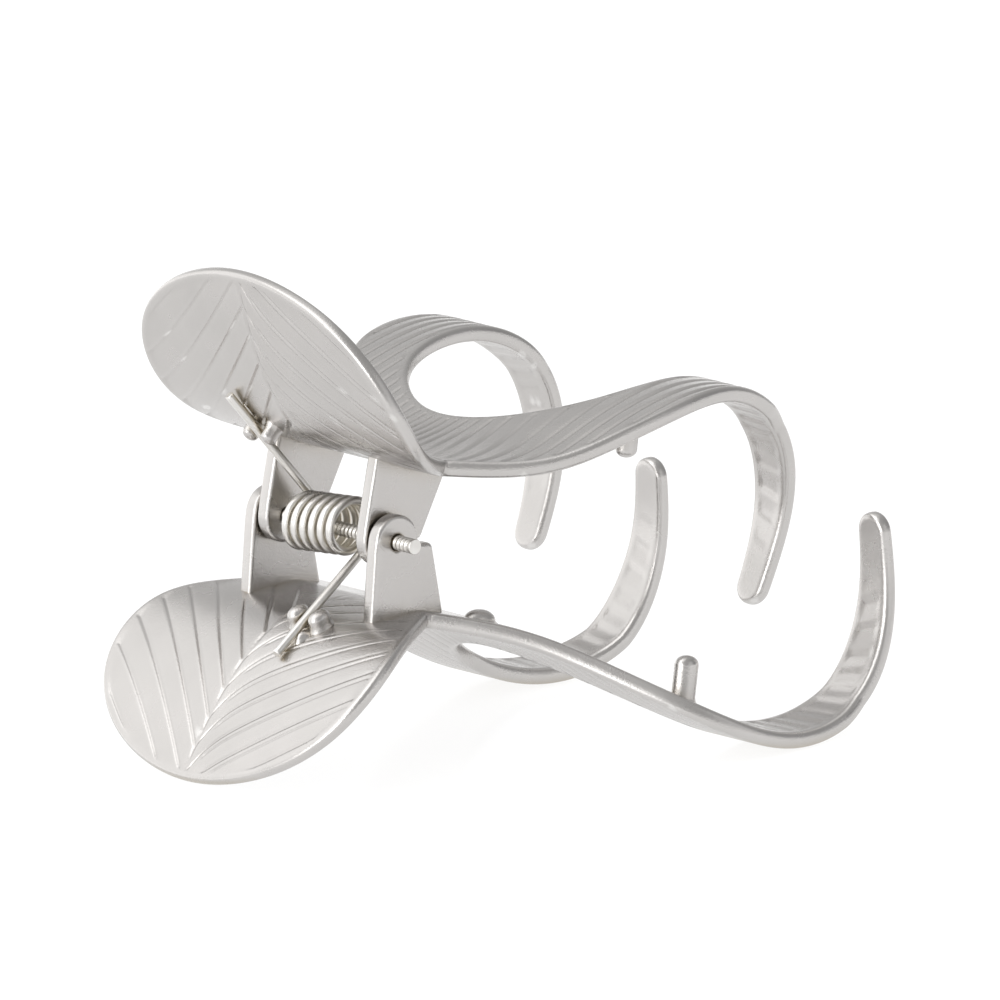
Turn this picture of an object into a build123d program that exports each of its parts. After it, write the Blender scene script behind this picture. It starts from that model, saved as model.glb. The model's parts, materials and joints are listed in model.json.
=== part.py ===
"""Sprung hair claw: two cast halves with leaf-shaped finger pads and two tines each, a hinge pin and a spring.

Each half is drawn in the clip's own frame: the hinge runs along Y through the origin, the jaws point to +X, the
finger pads to -X, and the upper half lies above the middle plane z = 0. The lower half is the same form turned
half a turn about X. The finished clip is then pitched so that it rests on its lower pad and its two lower arms.
"""

from build123d import *
import math
import os

# ---- plate: one curved sheet that makes the pad and the jaw (mm) ----
CREASE_X = 4.3                # sharp bend between pad and jaw, ahead of the pin
CREASE_HEIGHT = 7.4           # from the pin's axis to the plate's inner face at the crease
CREASE_HALF_WIDTH = 12.7
CREASE_OVERLAP = 1.2          # how far the pad's and the jaw's outlines run past the crease, inside each other
CREASE_EASE = 0.35            # how much narrower each is there
PLATE_THICKNESS = 1.85        # of the jaw, and of the pad where it leaves the crease
PAD_RIM_THICKNESS = 1.4

# ---- finger pad ----
PAD_BACK = 17.8               # pad tip behind the pin
PAD_HEIGHT = 27.6             # pad tip above the middle plane
PAD_HALF_WIDTH = 20.8

# ---- jaw ----
JAW_REACH = 53.6              # furthest point of the tines ahead of the pin
JAW_HEIGHT = 18.6             # crest of the arms above the middle plane
TINE_DROP = 6.8               # how far a tine's tip passes the middle plane
TINE_PITCH = 18.6             # spacing of the four tine tips across the clip
TINE_TIP_WIDTH = 4.2
TINE_WIDTH = 6.3              # where the arm turns down into the tine
JAW_SHIFT = -2.4              # the set of four tines sits this far off the pads' centre line

# ---- hinge ----
PIN_RADIUS = 0.8
PIN_RUNNING_CLEARANCE = 0.05
PIN_NEAR_END = 14.0           # threaded end that stands out of the near ear
PIN_FAR_END = 12.6
THREAD_PITCH = 0.62
THREAD_DEPTH = 0.16
EAR_HEAD_RADIUS = 3.0
EAR_THICKNESS = 1.7
EAR_GAP = 0.35                # between an upper ear and the lower ear beside it
LOWER_EAR_FACE = 11.1         # outer face of the lower ears, from the centre line
EAR_SHOULDER_X = 4.7          # stop bump on the jaw side of an ear's head
EAR_SHOULDER_RADIUS = 0.8
EAR_FOOT_FRONT = 7.2
EAR_FOOT_SINK = 0.9           # how deep an ear's foot runs into the plate

# ---- torsion spring ----
WIRE_RADIUS = 0.48
COIL_RADIUS = 2.85            # to the middle of the wire
COIL_LENGTH = 9.1
COIL_MIDDLE = 0.4             # the coil sits this far off the centre line, along the pin
COIL_WHOLE_TURNS = 6
COIL_CENTRE = (-0.2, 0.3)     # the coil hangs loosely round the pin
LEG_REST_GAP = 0.06           # between a leg and the pad it presses on
LEG_END_SHARE = 0.5           # how far along the pad a leg reaches
UPPER_LEG_SIDE = 7.2          # from the centre line to a leg's cut end
LOWER_LEG_SIDE = 5.1

# ---- small cast details ----
LUG_SHARE = 0.32              # how far along the pad the pair of leg lugs stands
LUG_RADIUS = 1.1
LUG_HEIGHT = 2.1
LUG_LEG_GAP = 0.2
PEG_RADIUS = 0.85
TALL_PEG = (28.0, 26.6, 4.7)  # ahead of the pin, aside of the tines' centre line, length
ROOT_PEG = (10.0, 10.8, 1.6)
SHORT_PEG = (24.5, -15.8, 2.5)
NOSE_SHARE = 0.8              # rounding of a lug's or a peg's nose, as a share of its radius
PEG_SINK = 0.6                # how deep a peg's root runs into the arm
LUG_SINK = 0.5                # how deep a lug's root runs into the pad
TINE_TOP_SHARE = 0.45         # height, as a share of the crest's, where an arm has become a tine
SHORT_TURN_IN = -1.35         # the short arm turns down this far aside of its tine's tip
LONG_TURN_OUT = 0.75          # and the long arm this far

BORE_RADIUS = PIN_RADIUS + PIN_RUNNING_CLEARANCE
UPPER_EAR_FACE = LOWER_EAR_FACE - EAR_THICKNESS - EAR_GAP
CREASE_OUTER = CREASE_HEIGHT + PLATE_THICKNESS
CUTTER = 200.0
SHORT_TINE = -0.5 * TINE_PITCH
LONG_TINE = 1.5 * TINE_PITCH
SHORT_TURN = SHORT_TINE + SHORT_TURN_IN
LONG_TURN = LONG_TINE + LONG_TURN_OUT
TINE_TOP = TINE_TOP_SHARE * JAW_HEIGHT


def jaw_point(reach_share, height_share):
    """A point of the jaw's outer side profile, from the crease towards the front and the crest."""
    x = CREASE_X + reach_share * (JAW_REACH - CREASE_X)
    return (x, 0, CREASE_OUTER + height_share * (JAW_HEIGHT - CREASE_OUTER))


def offset_spline(edge, start, start_distance, end_distance, steps):
    """A spline beside an edge of the side profile, from a given start at the crease."""
    points = [start]
    for step in range(1, steps + 1):
        share = step / steps
        tangent = edge.tangent_at(share)
        distance = start_distance + (end_distance - start_distance) * share
        points.append(edge.position_at(share) + Vector(tangent.Z, 0, -tangent.X) * distance)
    return Spline(*points)


def jaw_outer_profile():
    crest = jaw_point(0.716, 1.0)
    turn = (CREASE_X + 0.923 * (JAW_REACH - CREASE_X), 0, 0.758 * JAW_HEIGHT)
    front = (JAW_REACH, 0, 0.2 * JAW_HEIGHT)
    tip = (JAW_REACH - 0.24 * TINE_DROP, 0, -TINE_DROP)
    return Spline(
        jaw_point(0, 0), jaw_point(0.194, 0.143), jaw_point(0.327, 0.45), jaw_point(0.491, 0.81),
        crest, turn, front, tip,
    )


def pad_inner_profile():
    """The pad's inner face: nearly level at the crease, then flaring steeply outwards."""
    rise = PAD_HEIGHT - CREASE_HEIGHT
    run = PAD_BACK + CREASE_X
    shares = [(0, 0), (0.24, 0.05), (0.455, 0.135), (0.645, 0.312), (0.836, 0.62), (1, 1)]
    return Spline(*[(CREASE_X - a * run, 0, CREASE_HEIGHT + b * rise) for a, b in shares])


JAW_OUTER = jaw_outer_profile()
PAD_INNER = pad_inner_profile()
JAW_INNER = offset_spline(JAW_OUTER, PAD_INNER @ 0, PLATE_THICKNESS, PLATE_THICKNESS, 12)
PAD_OUTER = offset_spline(PAD_INNER, JAW_OUTER @ 0, PLATE_THICKNESS, PAD_RIM_THICKNESS, 8)


def plate_band():
    """The side profile of pad and jaw as one thick band, wider than the clip."""
    jaw_tip = Line(JAW_OUTER @ 1, JAW_INNER @ 1)
    pad_tip = Line(PAD_INNER @ 1, PAD_OUTER @ 1)
    profile = make_face([JAW_OUTER, jaw_tip, JAW_INNER, PAD_INNER, pad_tip, PAD_OUTER])
    return extrude(profile, CUTTER / 2, dir=(0, 1, 0), both=True)


def pad_prism():
    """Leaf outline of the pad, square to the line from the crease to the pad's tip."""
    start = PAD_INNER @ 0
    chord = (PAD_INNER @ 1) - start
    length = chord.length
    plane = Plane(origin=start, x_dir=chord, z_dir=chord.cross(Vector(0, 1, 0)))
    shares = [(0.16, 0.8), (0.33, 0.95), (0.52, 1.0), (0.7, 0.93), (0.86, 0.71), (0.955, 0.42)]
    right = [(-CREASE_OVERLAP, CREASE_HALF_WIDTH - CREASE_EASE)]
    right += [(a * length, b * PAD_HALF_WIDTH) for a, b in shares]
    left = [(x, -y) for x, y in reversed(right)]
    outline = Spline(*right, (length, 0), *left)
    base = Line(outline @ 1, outline @ 0)
    return extrude(plane * make_face([outline, base]), CUTTER / 4, both=True)


def arm_outline(shift):
    """Plan outline of the jaw: a wide root that forks into a short arm (-Y) and a long arm (+Y)."""
    def at(reach_share, pitch_share):
        return (reach_share * JAW_REACH, pitch_share * TINE_PITCH + shift)

    front = JAW_REACH + 6
    half = TINE_WIDTH / 2
    root = (CREASE_X - CREASE_OVERLAP, CREASE_HALF_WIDTH - CREASE_EASE)
    long_outer = Spline(
        root, at(0.308, 1.145), at(0.494, 1.683), at(0.78, 1.785),
        (0.987 * JAW_REACH, LONG_TURN + half + shift), (front, LONG_TURN + half + shift),
    )
    fork = Spline(
        (front, LONG_TURN - half + shift), (0.987 * JAW_REACH, LONG_TURN - half + shift),
        at(0.78, 1.333), at(0.494, 1.16), at(0.385, 0.80), at(0.336, 0.317), at(0.385, -0.13),
        at(0.494, -0.435), at(0.78, -0.473),
        (0.987 * JAW_REACH, SHORT_TURN + half + shift), (front, SHORT_TURN + half + shift),
    )
    short_outer = Spline(
        (front, SHORT_TURN - half + shift), (0.987 * JAW_REACH, SHORT_TURN - half + shift),
        at(0.78, -0.874), at(0.494, -1.04), at(0.308, -0.94), (root[0], -root[1]),
    )
    edges = [
        long_outer, Line(long_outer @ 1, fork @ 0), fork, Line(fork @ 1, short_outer @ 0), short_outer,
        Line(short_outer @ 1, long_outer @ 0),
    ]
    return extrude(make_face(edges), CUTTER / 2, both=True)


def tine_face(centre, turn_centre, shift):
    """Front view of one tine: it narrows from the arm to a round tip."""
    tip_radius = TINE_TIP_WIDTH / 2
    shoulder = tip_radius - TINE_DROP
    left = Line((0, turn_centre - TINE_WIDTH / 2 + shift, TINE_TOP), (0, centre - tip_radius + shift, shoulder))
    tip = ThreePointArc(left @ 1, (0, centre + shift, -TINE_DROP), (0, centre + tip_radius + shift, shoulder))
    right = Line(tip @ 1, (0, turn_centre + TINE_WIDTH / 2 + shift, TINE_TOP))
    return make_face([left, tip, right, Line(right @ 1, left @ 0)])


def tine_cutter(shift):
    """What is cut away in front and below the arms, to leave the two tines."""
    back = 0.8 * JAW_REACH
    low = -TINE_DROP - 2
    block = Pos(back + 15, 0, (TINE_TOP + low) / 2) * Box(30, CUTTER, TINE_TOP - low)
    tines = tine_face(SHORT_TINE, SHORT_TURN, shift) + tine_face(LONG_TINE, LONG_TURN, shift)
    return block - extrude(tines, CUTTER / 2, dir=(1, 0, 0), both=True)


def ear_blank(outer_face):
    """One hinge ear: a round head on the pin, a stop shoulder on the jaw side and a foot in the plate."""
    foot_top = CREASE_HEIGHT + EAR_FOOT_SINK
    back = -EAR_HEAD_RADIUS
    outline = Polyline(
        (back, 0, 0), (back, 0, foot_top + 1.2), (CREASE_X, 0, foot_top), (EAR_FOOT_FRONT, 0, foot_top + 0.2),
        (EAR_SHOULDER_X + EAR_SHOULDER_RADIUS, 0, 0.8), (EAR_SHOULDER_X, 0, 0), (0, 0, 0), (back, 0, 0),
    )
    web = extrude(make_face(outline), EAR_THICKNESS, dir=(0, 1, 0))
    head = Rot(-90, 0, 0) * Cylinder(EAR_HEAD_RADIUS, EAR_THICKNESS, align=(Align.CENTER, Align.CENTER, Align.MIN))
    shoulder = Rot(-90, 0, 0) * Cylinder(
        EAR_SHOULDER_RADIUS, EAR_THICKNESS, align=(Align.CENTER, Align.CENTER, Align.MIN)
    )
    ear = web + head + Pos(EAR_SHOULDER_X, 0, 0.8) * shoulder
    return Pos(0, outer_face - EAR_THICKNESS, 0) * ear


def boss(radius, height):
    """A short post with a rounded nose, standing on the origin."""
    post = Cylinder(radius, height, align=(Align.CENTER, Align.CENTER, Align.MIN))
    return fillet(post.edges().sort_by(Axis.Z)[-1], NOSE_SHARE * radius)


def peg(place, shift):
    """A round-nosed grip peg under an arm."""
    x, aside, length = place
    samples = [JAW_INNER.position_at(i / 200) for i in range(120)]
    root = min(samples, key=lambda point: abs(point.X - x)).Z
    return Pos(x, aside + shift, root + PEG_SINK) * Rot(180, 0, 0) * boss(PEG_RADIUS, length + PEG_SINK)


def pad_frame(share):
    """Where on the pad's inner face, and which way is out of that face."""
    tangent = PAD_INNER.tangent_at(share)
    return PAD_INNER.position_at(share), Vector(-tangent.Z, 0, tangent.X)


def coil_tangent(end, side):
    """Angle in side view at which a leg to this end leaves the coil, on the jaw side of the pin."""
    dx, dz = end.X - COIL_CENTRE[0], end.Z - COIL_CENTRE[1]
    return math.atan2(dz, dx) - side * math.acos(COIL_RADIUS / math.hypot(dx, dz))


def coil_point(angle):
    """Side-view point of the coil's centre line."""
    x = COIL_CENTRE[0] + COIL_RADIUS * math.cos(angle)
    z = COIL_CENTRE[1] + COIL_RADIUS * math.sin(angle)
    return Vector(x, 0, z)


def leg_clearance(end):
    """Least distance in side view from a straight leg's centre line to the pad's inner face."""
    start = coil_point(coil_tangent(end, 1))
    along = end - start
    nearest = math.inf
    for step in range(61):
        point = PAD_INNER.position_at(step / 60) - start
        share = min(1, max(0, point.dot(along) / along.dot(along)))
        nearest = min(nearest, (point - along * share).length)
    return nearest


def leg_end():
    """Side-view centre of a leg's cut end, just far enough off the pad for the straight leg to clear it all along."""
    place, out = pad_frame(LEG_END_SHARE)
    needed = WIRE_RADIUS + LEG_REST_GAP
    distance = needed
    while leg_clearance(place + out * distance) < needed and distance < 10 * needed:
        distance += 0.1 * LEG_REST_GAP
    return place + out * distance


UPPER_LEG_END = leg_end()
LOWER_LEG_END = Vector(UPPER_LEG_END.X, 0, -UPPER_LEG_END.Z)
UPPER_TANGENT = coil_tangent(UPPER_LEG_END, 1)
LOWER_TANGENT = coil_tangent(LOWER_LEG_END, -1)
COIL_TURNS = COIL_WHOLE_TURNS + (UPPER_TANGENT - LOWER_TANGENT) / (2 * math.pi)


def leg_lugs(coil_side, end_side):
    """A pair of round lugs on the pad that keep the spring's leg between them."""
    place, out = pad_frame(LUG_SHARE)
    start = coil_point(UPPER_TANGENT)
    share = (start.X - place.X) / (start.X - UPPER_LEG_END.X)
    side = coil_side + (end_side - coil_side) * share
    reach = LUG_RADIUS + WIRE_RADIUS + LUG_LEG_GAP
    lugs = []
    for sign in (-1, 1):
        plane = Plane(origin=place + Vector(0, side + sign * reach, 0) - out * LUG_SINK, z_dir=out)
        lugs.append(plane * boss(LUG_RADIUS, LUG_HEIGHT + LUG_SINK))
    return lugs


def half(ear_face, bore_radius, shift, leg_sides):
    """One casting in the upper position."""
    band = plate_band()
    jaw = band & arm_outline(shift)
    jaw = jaw - tine_cutter(shift)
    pad = band & pad_prism()
    casting = jaw + pad
    for side in (ear_face, EAR_THICKNESS - ear_face):
        casting += ear_blank(side)
    for lug in leg_lugs(*leg_sides):
        casting += lug
    for place in (TALL_PEG, ROOT_PEG, SHORT_PEG):
        casting += peg(place, shift)
    return casting - Rot(90, 0, 0) * Cylinder(bore_radius, CUTTER)


def thread(start, end):
    """Side profile points of a threaded stretch, as (radius, distance along the pin)."""
    count = max(1, round(abs(end - start) / THREAD_PITCH))
    step = (end - start) / count
    points = [(PIN_RADIUS, start)]
    for ring in range(count):
        points.append((PIN_RADIUS - THREAD_DEPTH, start + (ring + 0.5) * step))
        points.append((PIN_RADIUS, start + (ring + 1) * step))
    return points


def hinge_pin():
    """Threaded pin, plain where the ears run on it."""
    inner = UPPER_EAR_FACE - EAR_THICKNESS - 0.2
    outer = LOWER_EAR_FACE + 0.1
    near_tip, far_tip = -PIN_NEAR_END, PIN_FAR_END
    chamfer = 0.2
    points = [(0, near_tip), (PIN_RADIUS - chamfer, near_tip)]
    points += thread(near_tip + chamfer, -outer)
    points += thread(-inner, inner)
    points += thread(outer, far_tip - 2 * chamfer)
    points += [(PIN_RADIUS - 2 * chamfer, far_tip), (0, far_tip), (0, near_tip)]
    profile = make_face(Polyline(*[(radius, along, 0) for radius, along in points]))
    return revolve(profile, Axis.Y)


def torsion_spring():
    """One wire: the lower leg, the loose coil round the pin from the near side, and the upper leg."""
    helix = Helix(COIL_LENGTH / COIL_TURNS, COIL_LENGTH, COIL_RADIUS, lefthand=True)
    upright = Rot(0, 0, -math.degrees(LOWER_TANGENT)) * helix
    start = COIL_MIDDLE - COIL_LENGTH / 2
    coil = Pos(COIL_CENTRE[0], start, COIL_CENTRE[1]) * Rot(-90, 0, 0) * upright
    lower_end = Vector(LOWER_LEG_END.X, -LOWER_LEG_SIDE, LOWER_LEG_END.Z)
    upper_end = Vector(UPPER_LEG_END.X, UPPER_LEG_SIDE, UPPER_LEG_END.Z)
    lower = Spline(lower_end, coil @ 0, tangents=[(coil @ 0) - lower_end, coil % 0])
    upper = Spline(coil @ 1, upper_end, tangents=[coil % 1, upper_end - (coil @ 1)])
    path = Wire([lower, coil, upper])
    section = Plane(origin=path @ 0, z_dir=path % 0) * Circle(WIRE_RADIUS)
    return sweep(section, path=path)


def rest_pitch():
    """How far the clip tips forward, so that the lower pad's tip and the lower arms touch the table together."""
    jaw = [JAW_OUTER.position_at(i / 200) for i in range(201)]
    pad = [PAD_OUTER.position_at(i / 50) for i in range(51)]
    low, high = 0.0, math.radians(30)
    for _ in range(40):
        angle = (low + high) / 2
        jaw_depth = max(p.X * math.sin(angle) + p.Z * math.cos(angle) for p in jaw)
        pad_depth = max(p.X * math.sin(angle) + p.Z * math.cos(angle) for p in pad)
        if jaw_depth < pad_depth:
            low = angle
        else:
            high = angle
    return math.degrees(angle)


def main():
    half_turn = Rot(180, 0, 0)
    upper_leg = (COIL_MIDDLE + COIL_LENGTH / 2, UPPER_LEG_SIDE)
    lower_leg = (COIL_LENGTH / 2 - COIL_MIDDLE, LOWER_LEG_SIDE)
    parts = {
        "upper_jaw": half(UPPER_EAR_FACE, BORE_RADIUS, JAW_SHIFT, upper_leg),
        "lower_jaw": half_turn * half(LOWER_EAR_FACE, PIN_RADIUS, -JAW_SHIFT, lower_leg),
        "hinge_pin": hinge_pin(),
        "torsion_spring": torsion_spring(),
    }
    pitch = rest_pitch()
    pitched = {name: Rot(0, pitch, 0) * solid for name, solid in parts.items()}
    boxes = [solid.bounding_box() for solid in pitched.values()]
    low = Vector(*[min(getattr(box.min, axis) for box in boxes) for axis in "XYZ"])
    high = Vector(*[max(getattr(box.max, axis) for box in boxes) for axis in "XYZ"])
    hinge = Vector(-(low.X + high.X) / 2, -(low.Y + high.Y) / 2, -low.Z)
    os.makedirs("parts", exist_ok=True)
    for name, solid in pitched.items():
        export_step(Pos(*hinge) * solid, f"parts/{name}.step")
    print(f"overall {high.X - low.X:.2f} x {high.Y - low.Y:.2f} x {high.Z - low.Z:.2f} mm")
    print(f"hinge axis through {hinge.X:.3f}, {hinge.Y:.3f}, {hinge.Z:.3f}; pitch {pitch:.3f} degrees")


if __name__ == "__main__":
    main()
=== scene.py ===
"""Sprung hair claw in satin silver plate: two castings with leaf pads and tines, a threaded pin and a spring.

Every shape is drawn in the clip's own frame in millimetres: the hinge runs along Y through the origin, the jaws
point to +X and the finger pads to -X. The lower casting is the upper one turned half a turn about X. The clip is
then pitched and moved to stand on the floor as its mechanical frame does.
"""

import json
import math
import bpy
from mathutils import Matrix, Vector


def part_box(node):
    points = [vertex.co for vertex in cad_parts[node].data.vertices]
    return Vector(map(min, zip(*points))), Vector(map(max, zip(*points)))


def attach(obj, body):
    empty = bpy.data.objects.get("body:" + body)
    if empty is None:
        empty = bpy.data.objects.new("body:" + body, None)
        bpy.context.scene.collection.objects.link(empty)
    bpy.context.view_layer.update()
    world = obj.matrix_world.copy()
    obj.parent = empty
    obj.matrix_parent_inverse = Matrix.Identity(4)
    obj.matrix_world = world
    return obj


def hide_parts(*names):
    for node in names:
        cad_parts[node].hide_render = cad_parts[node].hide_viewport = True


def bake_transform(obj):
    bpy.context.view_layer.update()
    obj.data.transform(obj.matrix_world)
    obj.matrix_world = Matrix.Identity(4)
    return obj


bl_info = {
    "name": "Sprung Hair Claw",
    "version": (1, 0, 0),
    "blender": (4, 5, 0),
    "location": "View3D > Sidebar > Hair Claw",
    "description": "Builds a plated metal hair claw with its spring and pin on a pale studio floor",
    "category": "Object",
}

import bpy
import numpy as np
from mathutils import Matrix, Vector
from mathutils.geometry import delaunay_2d_cdt

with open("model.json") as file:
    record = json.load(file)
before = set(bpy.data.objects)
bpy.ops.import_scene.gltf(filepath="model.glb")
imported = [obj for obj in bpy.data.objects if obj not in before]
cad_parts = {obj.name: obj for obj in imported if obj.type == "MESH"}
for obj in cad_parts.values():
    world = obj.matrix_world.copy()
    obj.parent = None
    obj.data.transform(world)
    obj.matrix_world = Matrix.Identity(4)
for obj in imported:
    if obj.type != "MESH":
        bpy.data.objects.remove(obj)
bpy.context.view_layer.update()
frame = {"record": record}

MM = 0.001
PIN_NEAR, PIN_FAR = -14.0, 12.6
HINGE = np.array(frame["record"]["behaviour"]["joints"][0]["pos_m"], float)
HINGE[1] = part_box("hinge_pin")[0].y - PIN_NEAR * MM
PITCH = math.radians(9.614)   # how far the standing clip tips forward

# ---- side profile of a casting, (x, z) in mm ----
CREASE = (4.3, 7.4)           # inner face where pad and jaw meet
PLATE = 1.85                  # thickness of the jaw
PAD_RIM = 1.4                 # thickness at the pad's tip
TINE_END = 1.62               # thickness at a tine's tip
JAW_REACH = 53.6
JAW_HEIGHT = 18.6
TINE_DROP = 6.8
PAD_RUN, PAD_RISE = 22.1, 20.2
PAD_SHARES = [(0, 0), (0.24, 0.05), (0.455, 0.135), (0.645, 0.312), (0.836, 0.62), (1, 1)]
JAW_SHARES = [(0, 0), (0.194, 0.143), (0.327, 0.45), (0.491, 0.81), (0.716, 1.0)]

# ---- plan of a casting ----
ROOT_HALF_WIDTH = 12.5
PAD_HALF_WIDTH = 20.8
PAD_OUTLINE = [(0.16, 0.8), (0.33, 0.95), (0.52, 1.0), (0.7, 0.93), (0.86, 0.71), (0.955, 0.42)]
TINE_PITCH = 18.6
TINE_HALF = 3.15              # half width where an arm turns down
TIP_HALF = 2.1
TINE_TOP = 8.37
SHORT_TINE, SHORT_TURN = -9.3, -10.65
LONG_TINE, LONG_TURN = 27.9, 28.65
JAW_SHIFT = -2.4

# ---- relief ----
# where the veins leave the midrib, from the crease; the first and last lie off the pad and bound the pattern
VEINS = np.array([-2.2, 1.4, 5.0, 8.7, 12.5, 16.6, 20.4, 24.0, 27.5, 31.2, 35.0, 38.8, 42.6, 46.4])
VEIN_STEP, VEIN_LINE = 0.17, 0.15       # depth of a vein's step and of the line at it
SECOND_LINE, SECOND_DEPTH = 0.9, 0.09   # place and depth of the fine line beside a vein
MIDRIB_DEPTH = 0.16
FLUTE_PITCH = 1.75
FLUTE_STEP, FLUTE_LINE = 0.13, 0.13     # depth of a flute's step and of the line at it
TINE_FLUTE = 0.15

# ---- mesh ----
SAME_POINT = 2e-3             # closer to the cut edge than this, the two faces share a point
RIM_LINES = 6
CLEAR_OF_RIM = 1.12           # where the faces' own points start, in half thicknesses from the edge

# ---- hinge and spring ----
EAR_THICKNESS = 1.7
UPPER_EAR_FACE, LOWER_EAR_FACE = 9.05, 11.1
EAR_RADIUS = 3.0
PIN_RADIUS = 0.8
BORE_GAP = 0.03
EAR_EDGE = 0.42               # how far in an ear's edges are rounded
THREAD_PITCH, THREAD_DEPTH = 0.62, 0.17
WIRE_RADIUS = 0.48
COIL_RADIUS = 2.85
COIL_LENGTH = 9.1
COIL_MIDDLE = 0.4
COIL_START, COIL_END = -0.8179, 0.8465 + 12 * math.pi
COIL_CENTRE = (-0.2, 0.3)
UPPER_LEG_END = (-10.505, 7.2, 13.23)
LOWER_LEG_END = (-10.505, -5.1, -13.23)
LUG_SHARE = 0.32
UPPER_LUG_SIDE, LOWER_LUG_SIDE = 6.3, 4.7
UPPER_LUG_RADIUS, LOWER_LUG_RADIUS = 0.72, 0.95
LUG_SPREAD = 0.8              # from a lug's edge to the middle of the leg between the two
PEGS = (                      # forward, aside, length, radius, stretch
    (27.3, 26.6, 5.15, 1.12, 1.3), (10.9, 10.8, 1.1, 1.35, 1.5), (24.8, -15.8, 3.0, 1.0, 1.3),
)

# ---- studio ----
BACKLIGHT = (-0.75, 0.65, 0.15)         # the room is brightest this way and darkest the other
ROOM_LEVELS = ((0.2, 0.42), (0.5, 0.57), (0.68, 0.66), (0.86, 0.84))
LIGHT_PANELS = (              # direction, cosines at the panel's full and no light, level
    ((-0.38, 0.70, 0.60), 0.985, 0.80, 0.47), ((-0.35, 0.1, 0.93), 0.97, 0.86, 1.1),
    ((-0.93, -0.3, 0.2), 0.97, 0.88, 2.4), ((0.1, 0.93, -0.02), 0.985, 0.93, 0.25),
)
VIEW_AWAY = (-0.66019, -0.74159, 0.11911)   # from the clip to the camera, in the clip's frame
VIEW_RIGHT = (0.75109, -0.65139, 0.10750)
VIEW_WIDTH = 0.1087           # width of the view at the clip, in metres
SENSOR = 36.0


def to_frame(points):
    """Clip-frame millimetres to the standing clip in metres."""
    points = np.asarray(points, float)
    x = points[:, 0] * math.cos(PITCH) + points[:, 2] * math.sin(PITCH)
    z = -points[:, 0] * math.sin(PITCH) + points[:, 2] * math.cos(PITCH)
    return np.stack([x, points[:, 1], z], 1) * MM + HINGE


def half_turn(points):
    """The upper casting's place turned into the lower one's."""
    return np.asarray(points, float) * (1, -1, -1)


def smoothstep(value, low, high):
    t = np.clip((np.asarray(value, float) - low) / (high - low), 0, 1)
    return t * t * (3 - 2 * t)


# ---------------------------------------------------------------- curves

def along(points):
    """Running length at each point."""
    return np.r_[0, np.cumsum(np.linalg.norm(np.diff(points, axis=0), axis=1))]


def resample(points, step):
    """The same line with evenly spaced points, about one step apart."""
    points = np.asarray(points, float)
    run = along(points)
    count = max(2, int(round(run[-1] / step)) + 1)
    even = np.linspace(0, run[-1], count)
    return np.stack([np.interp(even, run, points[:, k]) for k in range(points.shape[1])], 1)


def smooth_curve(points, step):
    """A natural cubic curve through the points, evenly sampled."""
    p = np.array(points, float)
    run = along(p)
    gaps = np.diff(run)
    count = len(p)
    matrix = np.zeros((count, count))
    right = np.zeros_like(p)
    matrix[0, 0] = matrix[-1, -1] = 1
    for i in range(1, count - 1):
        matrix[i, i - 1:i + 2] = gaps[i - 1], 2 * (gaps[i - 1] + gaps[i]), gaps[i]
        right[i] = 6 * ((p[i + 1] - p[i]) / gaps[i] - (p[i] - p[i - 1]) / gaps[i - 1])
    bend = np.linalg.solve(matrix, right)
    t = np.linspace(0, run[-1], 40 * count)
    i = np.clip(np.searchsorted(run, t, side="right") - 1, 0, count - 2)
    a, b = (run[i + 1] - t)[:, None], (t - run[i])[:, None]
    h = gaps[i][:, None]
    fine = (bend[i] * a ** 3 + bend[i + 1] * b ** 3) / (6 * h)
    fine += (p[i] / h - bend[i] * h / 6) * a + (p[i + 1] / h - bend[i + 1] * h / 6) * b
    return resample(fine, step)


def side_normals(points):
    """Unit normals of a side profile that runs to +X, pointing away from the middle plane."""
    tangent = np.gradient(points, axis=0)
    tangent /= np.linalg.norm(tangent, axis=1)[:, None]
    return np.stack([-tangent[:, 1], tangent[:, 0]], 1)


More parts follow.
